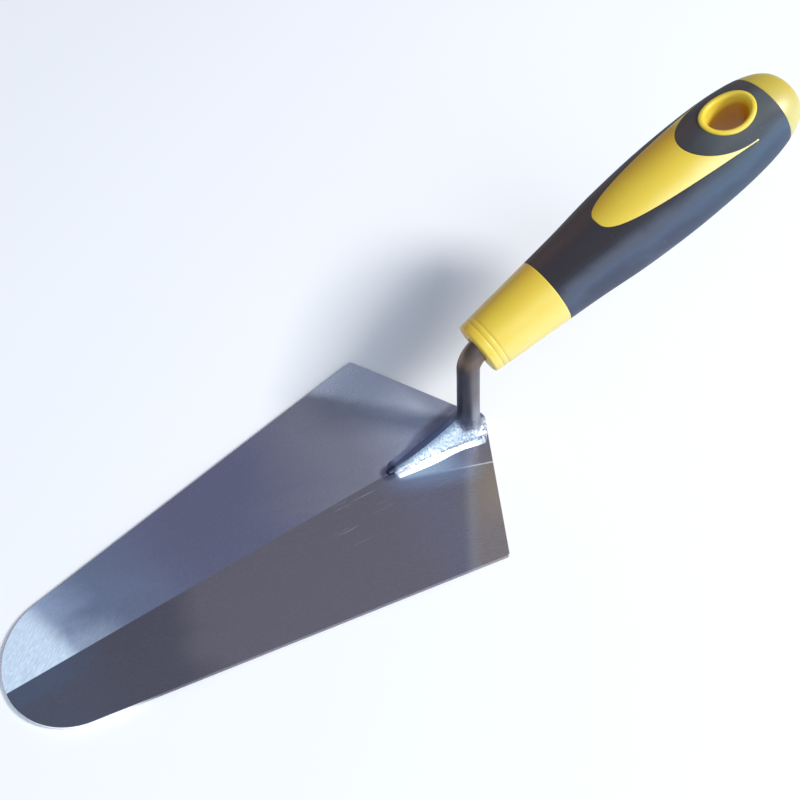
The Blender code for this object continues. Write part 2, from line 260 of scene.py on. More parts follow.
def inside_loop(points, loop):
    """Which of the 2-D points lie inside a closed outline."""
    inside = np.zeros(len(points), bool)
    x, y = points[:, 0], points[:, 1]
    for (x0, y0), (x1, y1) in zip(loop[:-1], loop[1:]):
        crosses = (y0 > y) != (y1 > y)
        if y1 != y0:
            inside ^= crosses & (x < x0 + (y - y0) * (x1 - x0) / (y1 - y0))
    return inside


def rounded_drop(distance, radius):
    """How far a rolled edge has fallen at a distance from the edge."""
    inner = np.clip(radius - distance, 0, radius)
    return radius - np.sqrt(radius**2 - inner**2)


def along(polyline, share):
    """The point at a share of a polyline's length."""
    lengths = [(b - a).length for a, b in zip(polyline, polyline[1:])]
    left = share * sum(lengths)
    for a, b, length in zip(polyline, polyline[1:], lengths):
        if left <= length:
            return a + (b - a) * (left / length)
        left -= length
    return polyline[-1]


def merged(points, faces, within=3e-4):
    """Points at one place made one, and the faces that collapse dropped."""
    keys = np.round(np.array(points) / within).astype(np.int64)
    _, first, index = np.unique(keys, axis=0, return_index=True, return_inverse=True)
    index = index.reshape(-1)
    kept = []
    for face in faces:
        ring = [int(index[i]) for i in face]
        ring = [a for a, b in zip(ring, ring[1:] + ring[:1]) if a != b]
        if len(ring) > 2:
            kept.append(tuple(ring))
    return [points[i] for i in first], kept


# ---------------------------------------------------------------- blade

def blade_sides():
    """The heel edge, the side edge and the tip's arc of one half of the plan, as fine polylines."""
    corner = Vector((HEEL_SETBACK, BLADE_WIDTH / 2))
    centre = Vector((BLADE_LENGTH - TIP_RADIUS, 0.0))
    away = corner - centre
    tangent_turn = atan2(away.y, away.x) - acos(TIP_RADIUS / away.length)
    tangent = centre + TIP_RADIUS * Vector((cos(tangent_turn), sin(tangent_turn)))
    back = -corner.normalized()
    ahead = (tangent - corner).normalized()
    inward = (back + ahead).normalized()
    sweep = (pi - back.angle(ahead)) / 2
    rounding = corner + inward * (CORNER_RADIUS / cos(sweep))
    sideways = Vector((-inward.y, inward.x))

    def on_corner(a):
        return rounding + (sideways * sin(a) - inward * cos(a)) * CORNER_RADIUS

    heel = [Vector((0.0, 0.0)), *(on_corner(a) for a in spread(-sweep, 0.0, 9))]
    side = [*(on_corner(a) for a in spread(0.0, sweep, 9)), tangent]
    arc = [centre + TIP_RADIUS * Vector((cos(a), sin(a))) for a in spread(0.0, tangent_turn, 91)]
    return heel, side, arc


def graded(length, near_start, near_end):
    """Shares of a length: even steps, with the given distances kept close to either end."""
    start = list(near_start)
    end = [length - d for d in reversed(near_end)]
    count = ceil((end[0] - start[-1]) / PLAN_STEP)
    return [d / length for d in start[:-1] + spread(start[-1], end[0], count + 1) + end[1:]]


def blade_plan():
    """One half of the plan as rows of points from the crease out, a row's length, and the outline."""
    heel, side, arc = blade_sides()
    shares_u = graded(PLAN_SIZE[0], EDGE_ROWS, EDGE_ROWS)
    shares_v = graded(PLAN_SIZE[1], CREASE_ROWS, EDGE_ROWS)
    corners = (along(heel, 0), along(heel, 1), along(arc, 0), along(arc, 1))
    plan = []
    for v in shares_v:
        start, end = along(heel, v), along(arc, v)
        for u in shares_u:
            crease = corners[0].lerp(corners[2], u)
            outer = along(side, u)
            ruled = crease * (1 - v) + outer * v + start * (1 - u) + end * u
            bilinear = (corners[0] * (1 - u) + corners[2] * u) * (1 - v)
            bilinear += (corners[1] * (1 - u) + corners[3] * u) * v
            plan.append(tuple(ruled - bilinear))
    outline = np.array([tuple(p) for p in heel[:-1] + side + arc[::-1]])
    return np.array(plan), len(shares_u), outline


def blade_height(y):
    """Height of the blade's hollow top at this distance from the crease."""
    reach = abs(y)
    hollow = HOLLOW_REACH * (1 - exp(-reach / HOLLOW_REACH))
    return (CREASE_SLOPE - RIM_SLOPE) * hollow + RIM_SLOPE * reach


def blade_wave(x, y):
    """The slight unevenness left by the grinding."""
    side = 7.0 if y > 0 else -7.0
    slow = noise.noise(Vector((x / 46.0, y / 23.0, side)))
    quick = noise.noise(Vector((x / 15.0, y / 11.0, side + 3.0)))
    fade = smoothstep(abs(y) / 4.0)
    return fade * (0.030 * slow + 0.006 * quick)


def add_blade(material):
    plan, columns, outline = blade_plan()
    rows = len(plan) // columns
    drop = rounded_drop(distance_to_loops(plan, [outline]), EDGE_RADIUS)
    corners = [j * columns + i for j in range(rows - 1) for i in range(columns - 1)]
    cells = [(a, a + 1, a + 1 + columns, a + columns) for a in corners]
    rim = [j * columns for j in range(rows)]
    rim += [(rows - 1) * columns + i for i in range(1, columns)]
    rim += [j * columns + columns - 1 for j in reversed(range(rows - 1))]

    points, faces = [], []
    for sign in (1, -1):
        above, below = len(points), len(points) + len(plan)
        for (x, y), fall in zip(plan, drop):
            points.append((x, sign * y, blade_height(y) + blade_wave(x, sign * y) - fall))
        for (x, y), fall in zip(plan, drop):
            points.append((x, sign * y, blade_height(y) - BLADE_THICKNESS + fall))
        half = [tuple(above + i for i in cell) for cell in cells]
        half += [tuple(below + i for i in reversed(cell)) for cell in cells]
        half += [(above + a, above + b, below + b, below + a) for a, b in zip(rim, rim[1:])]
        faces += half if sign > 0 else [face[::-1] for face in half]
    points, faces = merged(points, faces)
    add_piece("blade_sheet", points, faces, material, "blade", "blade_steel", sharp=30)


# ---------------------------------------------------------------- shank and foot

def bar_course():
    """The bar's axis in the plane y = 0: its start, the arc of its bend and its end."""
    front = Vector((HANDLE_FRONT[0], 0.0, HANDLE_FRONT[1]))
    foot = Vector((SHANK_X, 0.0, 0.0))
    up = Vector((sin(SHANK_LEAN), 0.0, cos(SHANK_LEAN)))
    back = Vector((-cos(HANDLE_TILT), 0.0, sin(HANDLE_TILT)))
    rise = ((front - foot).cross(back)).y / up.cross(back).y
    knee = foot + up * rise
    turn = up.angle(back)
    tangent = BEND_RADIUS * tan(turn / 2)
    inward = (back - up * up.dot(back)).normalized()
    centre = knee - up * tangent + inward * BEND_RADIUS
    arc = [centre + (up * sin(a) - inward * cos(a)) * BEND_RADIUS for a in spread(0.0, turn, 49)]
    return [foot + up * SHANK_START, *arc, front + back * TANG_DEPTH]


def bar_radius(travel, total):
    start = between(SHANK_RADIUS_FOOT, SHANK_RADIUS_TOP, np.clip(travel / SHANK_TAPER, 0, 1))
    taper = np.clip((travel - (total - TANG_TAPER)) / TANG_TAPER, 0, 1)
    return start + (TANG_END_RADIUS - SHANK_RADIUS_TOP) * taper


def bar_field(p, course):
    """Signed distance to the bar."""
    flat = p[:, [0, 2]]
    line = np.array([(c.x, c.z) for c in course])
    run = np.diff(line, axis=0)
    length = np.sqrt((run**2).sum(1))
    before = np.concatenate([[0.0], np.cumsum(length)])
    best = np.full(len(p), np.inf)
    travel = np.zeros(len(p))
    for i in range(len(run)):
        away = flat - line[i]
        t = np.clip((away @ run[i]) / length[i] ** 2, 0, 1)
        gap2 = ((away - t[:, None] * run[i]) ** 2).sum(1)
        nearer = gap2 < best
        best = np.where(nearer, gap2, best)
        travel = np.where(nearer, before[i] + t * length[i], travel)
    return np.sqrt(best + p[:, 1] ** 2) - bar_radius(travel, before[-1])


def foot_half_width(x):
    back, heel, toe = FOOT_BACK_HALF_WIDTH, FOOT_HEEL_HALF_WIDTH, FOOT_TOE_HALF_WIDTH
    behind = between(back, heel, (x - FOOT_BACK_X) / (FOOT_HEEL_X - FOOT_BACK_X))
    ahead = between(heel, toe, (x - FOOT_HEEL_X) / (FOOT_TOE_X - FOOT_HEEL_X))
    return np.where(x < FOOT_HEEL_X, behind, ahead)


def foot_wall_height(x):
    return between(FOOT_WALL_HEEL, FOOT_WALL_TOE, (x - FOOT_BACK_X) / (FOOT_TOE_X - FOOT_BACK_X))


def foot_ridge_height(x):
    t = np.clip((x - FOOT_BACK_X) / (FOOT_RIDGE_X - FOOT_BACK_X), 0, None)
    u = np.clip((FOOT_TOE_X - x) / (FOOT_TOE_X - FOOT_RIDGE_X), 0, None)
    behind = between(FOOT_BACK_HEIGHT, FOOT_RIDGE_HEIGHT, t**FOOT_BACK_POWER)
    ahead = between(FOOT_TOE_HEIGHT, FOOT_RIDGE_HEIGHT, u**FOOT_RIDGE_POWER)
    return np.where(x < FOOT_RIDGE_X, behind, ahead)


def foot_section(x):
    return float(foot_half_width(x)), float(foot_wall_height(x)), float(foot_ridge_height(x))


def soft_max(values, width):
    """The largest of several fields, rounded over this width."""
    values = np.array(values)
    top = values.max(0)
    return top + width * np.log(np.exp((values - top) / width).sum(0))


def foot_field(p):
    """Signed distance, near enough, to the wedge of the foot."""
    x, y, z = p[:, 0], np.abs(p[:, 1]), p[:, 2]
    width, wall, ridge = foot_half_width(x), foot_wall_height(x), foot_ridge_height(x)
    slope = (ridge - wall) / np.maximum(width, 0.3)
    roof = (z - (ridge - slope * y)) / np.sqrt(1 + slope**2)
    return soft_max([roof, y - width, -FOOT_SUNK - z, FOOT_BACK_X - x, x - FOOT_TOE_X], FOOT_ROUNDING)


def shank_field(p, course):
    """The bar and its foot, run together with a hollow blend where they meet."""
    bar, foot = bar_field(p, course), foot_field(p)
    h = np.clip(0.5 + 0.5 * (foot - bar) / ROOT_BLEND, 0, 1)
    joined = foot * (1 - h) + bar * h - ROOT_BLEND * h * (1 - h)
    return soft_max([joined, -FOOT_SUNK - p[:, 2]], FLOOR_ROUNDING)


def rough_shank(course):
    """Coarse solids that hold the bar and the foot, to be drawn onto their true surface."""
    across = Vector((0, 1, 0))
    ring = [2 * pi * k / ROUGH_SIDES for k in range(ROUGH_SIDES)]
    bar = [course[0] - (course[1] - course[0]).normalized(), *course[:-1]]
    bar += [course[-2].lerp(course[-1], t) for t in (0.25, 0.5, 0.75, 1.0)]
    points = []
    for behind, at, ahead in zip(bar[:1] + bar, bar, bar[1:] + bar[-1:]):
        out = (ahead - behind).normalized().cross(across)
        points += [tuple(at + (across * cos(a) + out * sin(a)) * ROUGH_RADIUS) for a in ring]
    faces = tube(len(bar), ROUGH_SIDES)
    foot = [FOOT_BACK_X + 0.2, FOOT_HEEL_X, *spread(8.0, FOOT_TOE_X - 0.2, 12)]
    faces += tube(len(foot), 5, first=len(points), flip=True)
    for x in foot:
        w, wall, ridge = foot_section(x)
        points += [(x, -w, -0.5), (x, w, -0.5), (x, w, wall), (x, 0, ridge), (x, -w, wall)]
    return points, faces


def remeshed(points, faces, voxel):
    """One closed skin round overlapping solids, as points and quads in millimetres."""
    rough = new_object("rough", points, faces)
    step = rough.modifiers.new("remesh", "REMESH")
    step.mode = "VOXEL"
    step.voxel_size = voxel
    graph = bpy.context.evaluated_depsgraph_get()
    made = rough.evaluated_get(graph).to_mesh()
    co = np.empty(len(made.vertices) * 3, np.float32)
    made.vertices.foreach_get("co", co)
    quads = [tuple(f.vertices) for f in made.polygons]
    rough.evaluated_get(graph).to_mesh_clear()
    mesh = rough.data
    bpy.data.objects.remove(rough)
    bpy.data.meshes.remove(mesh)
    return co.reshape(-1, 3).astype(float), quads


def sloped(points, field):
    """A field's value and slope at each point."""
    value = field(points)
    slope = np.empty_like(points)
    for axis in range(3):
        shifted = points.copy()
        shifted[:, axis] += PROBE
        slope[:, axis] = (field(shifted) - value) / PROBE
    return value, slope


def pulled(points, field, rounds=5):
    """Moves points along the field's slope until they lie on its surface."""
    for _ in range(rounds):
        value, slope = sloped(points, field)
        size2 = (slope**2).sum(1) + 1e-9
        points = points - np.clip(value / size2, -0.6, 0.6)[:, None] * slope
    return points


def spattered(points, field):
    """Raises the pits and beads of weld spatter round the foot of the bar and along the left weld."""
    slope = sloped(points, field)[1]
    outward = slope / np.sqrt((slope**2).sum(1))[:, None]
    moved = points.copy()
    for i, (x, y, z) in enumerate(points):
        if z > SPATTER_TOP or x > FOOT_TOE_X - 1.0:
            continue
        weld_top = bead_top(x, 1)[1] if x > BEAD_HEEL_X else FOOT_WALL_HEEL
        near_weld = (1 - smoothstep(abs(z - weld_top - 0.3) / 1.7)) * smoothstep((34.0 - x) / 8.0)
        near_bar = smoothstep((17.0 - x) / 6.0) * smoothstep((12.0 - z) / 3.0) * 0.8
        if y < 0.8:
            near_weld, near_bar = 0.0, near_bar * 0.3
        coarse = noise.noise(Vector((x, y, z)) / 1.15)
        lumps = max(coarse - 0.12, 0.0) * 0.55 + max(-coarse - 0.2, 0.0) * -0.3
        moved[i] += outward[i] * max(near_weld, near_bar) * lumps
    return moved


def add_shank(material):
    course = bar_course()

    def field(p):
        return shank_field(p, course)

    points, faces = remeshed(*rough_shank(course), ROUGH_VOXEL)
    points = spattered(pulled(points, field), field)
    add_piece("shank_forging", points, faces, material, "shank", "shank_steel", sharp=70)


# ---------------------------------------------------------------- weld beads

def bead_foot(x, sign):
    """How far out the bead meets the blade at x."""
    reach = between(BEAD_REACH_HEEL, BEAD_REACH_TOE, (x - BEAD_HEEL_X) / (BEAD_TOE_X - BEAD_HEEL_X))
    waist = BEAD_WAIST * exp(-(((x - BEAD_WAIST_X) / BEAD_WAIST_SPAN) ** 2)) if sign > 0 else 0.0
    return float(foot_half_width(x)) + reach - waist


def ground_share(x):
    return smoothstep((x - BEAD_HEEL_X) / (BEAD_GROUND_X - BEAD_HEEL_X))


def bead_top(x, sign):
    """Where the face of the bead runs out on the foot's flank at x, as (y, z)."""
    width, wall, ridge = foot_section(x)
    at_heel, where_ground, at_toe = BEAD_TILTS
    flat_from, flat_at = BEAD_FLATTENS_X
    tilt = between(at_heel, where_ground, ground_share(x))
    face = tan(between(tilt, at_toe, smoothstep((x - flat_from) / (flat_at - flat_from))))
    flank = (ridge - wall) / max(width, 0.3)
    reach = bead_foot(x, sign)
    if face < flank - 0.02:
        y = (reach * face - ridge) / (face - flank)
        if 0.12 < y < width:
            return y, ridge - flank * y
    return width, min(wall, (reach - width) * face)


def bead_section(x, toe_x, sign, seed):
    """One ring of a bead, from the blade up to the foot's flank and back inside the foot."""
    end = min((x - BEAD_HEEL_X) / BEAD_HEEL_ROUNDING, (toe_x - x) / BEAD_TOE_ROUNDING[sign], 1.0)
    full = sqrt(max(1 - (1 - end) ** 2, 0.02))
    inner = float(foot_half_width(x))
    reach = between(inner, bead_foot(x, sign), full)
    top_y, top_z = bead_top(x, sign)
    top_z *= full
    if sign > 0:
        bulge = 0.5 * (1 - ground_share(x)) + 0.10
    else:  # the right bead is hollow, and its upper edge stays buried in the foot
        top_y, top_z = max(top_y - 0.35, 0.1), top_z - 0.12
        bulge = -0.10 * top_z
    ripple = 0.05 * sin(2 * pi * x / 1.3 + 2.0 * noise.noise(Vector((x / 3.0, 0, seed))))
    ring = []
    for t in spread(0.0, 1.0, BEAD_TURNS):
        wander = 0.30 * noise.noise(Vector((x / 1.5, t * 1.5, seed + 5.0)))
        grain = 0.10 * noise.noise(Vector((x / 0.5, t * 4.0, seed + 9.0)))
        ragged = smoothstep((t - 0.78) / 0.22) * BEAD_RAGGED[sign]
        edge = smoothstep((0.10 - t) / 0.10)
        y = between(reach, top_y, t) + edge * (0.12 * wander + 0.4 * ripple)
        z = top_z * t + bulge * sin(pi * t) * full + ragged * (0.5 * wander + grain)
        z += blade_height(y) + 0.06 * t if sign > 0 else blade_height(y) * (1 - t) + 0.09 * t
        ring.append((x, sign * y, z - 0.10))
    ring.append((x, sign * max(top_y - 0.8, 0.05), 0.35 * top_z))
    ring.append((x, sign * max(inner - 0.8, 0.05), -0.4))
    return ring


def add_bead(name, node, sign, material, seed):
    """A fillet along one side of the foot, ground flat towards the toe and ropy at the heel."""
    toe_x = BEAD_TOE_X + BEAD_TOE_PAST[sign]
    stations = spread(BEAD_HEEL_X, toe_x, BEAD_STATIONS)
    points = [point for x in stations for point in bead_section(x, toe_x, sign, seed)]
    faces = tube(BEAD_STATIONS, BEAD_TURNS + 2, flip=sign < 0)
    add_piece(name, points, faces, material, node, "weld_metal")


# ---------------------------------------------------------------- handle surface

def interpolate(table, x):
    """A smooth curve through a table of (x, y), with each slope taken from its neighbours."""
    def slope(i):
        low = max(i - 1, 0)
        high = min(i + 1, len(table) - 1)
        return (table[high][1] - table[low][1]) / (table[high][0] - table[low][0])

    i = 0
    while i < len(table) - 2 and x > table[i + 1][0]:
        i += 1
    (x0, y0), (x1, y1) = table[i], table[i + 1]
    span = x1 - x0
    t = (x - x0) / span
    end_slope = 0.0 if i + 1 == len(table) - 1 else slope(i + 1)
    return (
        y0 * (1 + 2 * t) * (1 - t) ** 2
        + y1 * t * t * (3 - 2 * t)
        + span * t * (1 - t) * (slope(i) * (1 - t) - end_slope * t)
    )


def handle_radius(s):
    if s <= SWELL_AT:
        return interpolate(FRONT_RADII, s)
    u = min((s - SWELL_AT) / (HANDLE_LENGTH - SWELL_AT), 1.0)
    return SWELL_RADIUS * (1 - u**BUTT_POWER_ALONG) ** BUTT_POWER_ACROSS


def butt_station(share):
    """Where behind the swell the radius has shrunk to this share."""
    u = (1 - share ** (1 / BUTT_POWER_ACROSS)) ** (1 / BUTT_POWER_ALONG)
    return SWELL_AT + u * (HANDLE_LENGTH - SWELL_AT)


def handle_semi_axes(s, inset=0.0):
    """Half-height and half-width of the handle's section at s, both less the inset."""
    ratio = 1 - (1 - OVAL_RATIO) * smoothstep((s - ROUND_UNTIL) / (OVAL_FROM - ROUND_UNTIL))
    width = handle_radius(s) / sqrt(1 - HEIGHT_SHARE + HEIGHT_SHARE * ratio * ratio)
    return width * ratio - inset - SKIN, width - inset - SKIN


def window_outline(grow):
    """The window's outline as (s, across), closed, with evenly spaced points."""
    widest = WINDOW_HALF_WIDTH + grow
    front = WINDOW_FRONT - grow
    long_axis = CRESCENT_ALONG - grow
    short_axis = CRESCENT_ACROSS - grow

    def half_width(s):
        u = (WINDOW_WIDEST - s) / (WINDOW_WIDEST - front)
        return widest * (1 - max(u, 0.0) ** WINDOW_POWER_ALONG) ** WINDOW_POWER_ACROSS

    side = [front + (WINDOW_WIDEST - front) * t**3 for t in spread(0.0, 1.0, 401)]
    side = [Vector((s, half_width(s))) for s in side]
    start = acos((WINDOW_WIDEST - HOLE_AT) / long_axis)
    back = [Vector((HOLE_AT + long_axis * cos(a), short_axis * sin(a))) for a in spread(start, pi, 121)]
    half = side + back[1:]
    total = sum((b - a).length for a, b in zip(half, half[1:]))
    count = ceil(total / WINDOW_STEP)
    even = [along(half, i / count) for i in range(count + 1)]
    loop = [tuple(p) for p in even] + [(p.x, -p.y) for p in reversed(even[1:-1])]
    return np.array(loop + loop[:1])


def round_hole(off, turn):
    """A point, as (s, across), of the oval this far outside the hanging hole's shaft."""
    return HOLE_AT + (HOLE_ALONG + off) * cos(turn), (HOLE_ACROSS + off * RIM_STRETCH) * sin(turn)


def hole_outline(off):
    count = ceil(pi * (HOLE_ALONG + HOLE_ACROSS + off * (1 + RIM_STRETCH)) / HOLE_STEP)
    loop = [round_hole(off, 2 * pi * i / count) for i in range(count)]
    return np.array(loop + loop[:1])


def wrapped(loop):
    """An outline seen from above, (s, across), laid on the handle as (s, turn)."""
    return np.array([(s, asin(max(min(y / handle_semi_axes(s)[1], 1), -1))) for s, y in loop])


def beside(loop, loops, lip, s0, s1):
    """Points on both sides of an outline, wherever no outline is nearer."""
    run = np.diff(loop, axis=0)
    normal = np.c_[run[:, 1], -run[:, 0]] / np.sqrt((run**2).sum(1))[:, None]
    smooth = normal + np.roll(normal, 1, axis=0)
    smooth /= np.sqrt((smooth**2).sum(1))[:, None]
    points = []
    for distance in [lip * row for row in LIP_ROWS]:
        for side in (-1, 1):
            ring = loop[:-1] + side * distance * smooth
            clear = distance_to_loops(ring, loops) > distance * 0.93
            within = (ring[:, 0] > s0) & (ring[:, 0] < s1)
            points += [tuple(p) for p in ring[clear & within]]
    return points


def skin(keep, s0, s1, outlines, lip, outer, inner):
    """A sheet over the handle's upper half from s0 to s1, drawn flat: its points, its triangles and
    the insets of its two faces.

    keep picks the triangles by their middles. The outer face rolls down by the lip's radius along
    the outlines and at both ends.
    """
    loops = [np.c_[loop[:, 0], loop[:, 1] * REFERENCE_RADIUS] for loop in outlines]
    points, edges = [], []
    for loop in loops:
        first, count = len(points), len(loop) - 1
        points += [tuple(p) for p in loop[:-1]]
        edges += [(first + i, first + (i + 1) % count) for i in range(count)]
    side = pi / 2 * REFERENCE_RADIUS
    turns = spread(-pi / 2, pi / 2, ceil(2 * side / SKIN_STEP) + 1)
    near = [lip * row for row in LIP_ROWS]
    ends = [s0 + d for d in near] + [s1 - d for d in near]
    levels = sorted(spread(s0, s1, ceil((s1 - s0) / SKIN_STEP) + 1) + ends)
    grid = np.array([(s, turn * REFERENCE_RADIUS) for s in levels for turn in turns])
    gap = distance_to_loops(grid, loops)
    border = np.abs(np.abs(grid[:, 1]) - side) < 1e-6
    points += [tuple(p) for p in grid[(gap > lip * 1.9) | (border & (gap > 0.2))]]
    for loop in loops:
        points += beside(loop, loops, lip, s0, s1)

    flat, _, triangles, *_ = delaunay_2d_cdt([Vector(p) for p in points], edges, [], 0, 1e-5)
    flat = np.array([tuple(p) for p in flat])
    seam = np.abs(flat[:, 1]) > side - 1e-4
    triangles = [t for t in triangles if len(t) == 3 and not seam[list(t)].all()]
    middles = np.array([flat[list(t)].mean(0) for t in triangles])
    chosen = keep(np.c_[middles[:, 0], middles[:, 1] / REFERENCE_RADIUS])
    triangles = [t for t, use in zip(triangles, chosen) if use]
    used = sorted({i for t in triangles for i in t})
    place = {old: new for new, old in enumerate(used)}
    triangles = [tuple(place[i] for i in t) for t in triangles]
    flat = flat[used]
    gap = np.minimum(np.minimum(flat[:, 0] - s0, s1 - flat[:, 0]), distance_to_loops(flat, loops))
    drop = rounded_drop(np.clip(gap, 0, None), lip)
    return flat, triangles, outer + drop, np.full(len(flat), inner)


def shell(sheet, halves=(1, -1)):
    """A flat skin wrapped round the upper half of the handle, the lower one or both, and closed."""
    flat, triangles, *insets = sheet
    count = len(flat)
    seam = pi / 2 * REFERENCE_RADIUS - 1e-5
    edges = {(a, b) for t in triangles for a, b in zip(t, t[1:] + t[:1])}
    rim = [(a, b) for a, b in sorted(edges) if (b, a) not in edges]
    rim = [(a, b) for a, b in rim if abs(flat[a][1]) <= seam or abs(flat[b][1]) <= seam]
    points, faces = [], []
    for half in halves:
        first = len(points)
        for inset in insets:
            for (s, t), depth in zip(flat, inset):
                height, width = handle_semi_axes(float(s), float(depth))
                turn = float(t) / REFERENCE_RADIUS
                up = 0.0 if abs(t) > seam else half * height * cos(turn)
                points.append(handle_point(up, width * sin(turn), float(s)))
        made = list(triangles)
        made += [tuple(count + i for i in reversed(t)) for t in triangles]
        made += [(b, a, count + a, count + b) for a, b in rim]
        made = [tuple(first + i for i in face) for face in made]
        faces += made if half < 0 else [face[::-1] for face in made]
    return merged(points, faces)


def add_grip(material):
    gap = 0.02
    window, hole = wrapped(window_outline(gap)), wrapped(hole_outline(RIM_WIDTH + gap))

    def keep(middles):
        return ~inside_loop(middles, window) & ~inside_loop(middles, hole)

    half = skin(keep, GRIP_START + 0.03, GRIP_END - 0.03, [window, hole], lip=0.14, outer=-0.02, inner=1.7)
    add_piece("soft_grip", *shell(half), material, "grip", "grip_rubber")


# ---------------------------------------------------------------- handle core

def turned(stations):
    """A closed solid from rings round the handle's axis, each at (s, inset) or (s, radius, True)."""
    points = []
    for s, size, *is_radius in stations:
        height, width = (size, size) if is_radius else handle_semi_axes(s, size)
        turns = [2 * pi * k / HANDLE_SIDES for k in range(HANDLE_SIDES)]
        points += [handle_point(height * cos(a), width * sin(a), s) for a in turns]
    return points, tube(len(stations), HANDLE_SIDES)


def core_stations():
    """From the bottom of the tang's bore, out over the front face and back to the butt."""
    bore = SHANK_RADIUS_TOP + 0.15
    mouth, lip = 0.45, 0.1
    stations = [(TANG_DEPTH + 0.4, TANG_END_RADIUS + 0.2, True)]
    stations += [(TANG_DEPTH - TANG_TAPER, bore, True), (20.0, bore, True)]
    for a in spread(0.0, pi / 2, 4)[:-1]:
        stations.append((mouth + mouth * (1 - sin(a)), bore + mouth * (1 - cos(a)), True))
    front = handle_semi_axes(0.0)[0]
    stations += [(0.0, radius, True) for radius in (bore + 0.6, front - FRONT_CHAMFER - 1.5)]
    for a in spread(0.0, pi / 2, 7):
        stations.append((FRONT_CHAMFER * (1 - cos(a)), FRONT_CHAMFER * (1 - sin(a))))
    stations += [(1.2, 0.0), (1.9, 0.0)]
    for middle in GROOVES_AT:
        for t in spread(-1.0, 1.0, 9):
            depth = GROOVE_DEPTH * cos(t * pi / 2) ** 1.5 if abs(t) < 1 else 0.0
            stations.append((middle + t * GROOVE_WIDTH / 2, depth))
    stations += [(s, 0.0) for s in spread(6.2, GRIP_START - 0.5, 20)]
    quarter = spread(0.0, pi / 2, 5)
    stations += [(GRIP_START - lip * (1 - sin(a)), lip * (1 - cos(a))) for a in quarter[1:]]
    stations += [(s, GRIP_THICKNESS) for s in [GRIP_START, *spread(31.0, 115.5, 66), GRIP_END]]
    stations += [(GRIP_END + lip * (1 - cos(a)), lip * (1 - sin(a))) for a in quarter]
    first = asin(min(handle_radius(GRIP_END + 0.5) / SWELL_RADIUS, 1))
    stations += [(butt_station(sin(a)), 0.0) for a in spread(first, 0.02, 34)]
    return stations


def eyelet():
    """The tube round the hanging hole, with a funnel-shaped rim at each end."""
    roll = 0.45
    funnel = RIM_WIDTH - roll - 0.25
    profile = [(RIM_WIDTH, 3.0), (RIM_WIDTH, 1.6), (RIM_WIDTH, roll)]  # (off, drop from the crown)
    profile += [(RIM_WIDTH - roll * (1 - cos(a)), roll * (1 - sin(a))) for a in spread(0.15, pi / 2, 6)]
    profile += [(funnel * (1 - sin(a)), funnel * 1.15 * (1 - cos(a))) for a in spread(0.0, pi / 2, 12)]
    turns = [2 * pi * k / EYELET_SIDES for k in range(EYELET_SIDES)]
    rings = []
    for off, drop in profile:
        ring = []
        for s, y in (round_hole(off, turn) for turn in turns):
            height, width = handle_semi_axes(s, -RIM_PROUD)
            ring.append((height * sqrt(1 - (y / width) ** 2) - drop, y, s))
        rings.append(ring)
    for share in (0.45, 0.2):  # down the shaft
        up = share * handle_semi_axes(HOLE_AT)[0]
        rings.append([(up, y, s) for s, y in (round_hole(0.0, turn) for turn in turns)])
    points = [handle_point(*p) for ring in rings for p in ring]
    points += [handle_point(-up, y, s) for ring in reversed(rings) for up, y, s in ring]
    return points, tube(2 * len(rings), EYELET_SIDES, flip=True, closed=True)


def cut_hole(body):
    """Takes the eyelet's place out of the core."""
    loop = hole_outline(1.2)[:0:-1]
    points = [handle_point(up, y, s) for up in (-CUTTER_REACH, CUTTER_REACH) for s, y in loop]
    cutter = new_object("hole_cutter", placed(points), tube(2, len(loop)))
    step = body.modifiers.new("hole", "BOOLEAN")
    step.operation = "DIFFERENCE"
    step.object = cutter
    step.solver = "EXACT"
    graph = bpy.context.evaluated_depsgraph_get()
    cut = bpy.data.meshes.new_from_object(body.evaluated_get(graph))
    body.modifiers.clear()
    body.data = cut
    bpy.data.objects.remove(cutter)


def add_core(material, bore_material):
    window = wrapped(window_outline(-0.02))

    def keep(middles):
        return inside_loop(middles, window)

    ends = (WINDOW_FRONT - 2.0, WINDOW_WIDEST + 2.0)
    land = skin(keep, *ends, [window], lip=0.12, outer=0.0, inner=GRIP_THICKNESS + 0.5)
    node, slot = "handle_core", "core_plastic"
    body = add_piece("core_body", *turned(core_stations()), material, node, slot)
    add_piece("eyelet", *eyelet(), bore_material, node, slot)
    for half, name in ((1, "land_above"), (-1, "land_below")):
        add_piece(name, *shell(land, halves=(half,)), material, node, slot)
    cut_hole(body)


# ---------------------------------------------------------------- materials

class Value:
    """A number or colour that a material's nodes work out. Sums of values make more nodes."""

    def __init__(self, nodes, socket):
        self.nodes = nodes
        self.socket = socket

    def __add__(self, other):
        return self.nodes.math("ADD", self, other)

    def __sub__(self, other):
        return self.nodes.math("SUBTRACT", self, other)

    def __rsub__(self, other):
        return self.nodes.math("SUBTRACT", other, self)

    def __mul__(self, other):
        return self.nodes.math("MULTIPLY", self, other)

    def __pow__(self, other):
        return self.nodes.math("POWER", self, other)

    def __abs__(self):
        return self.nodes.math("ABSOLUTE", self)


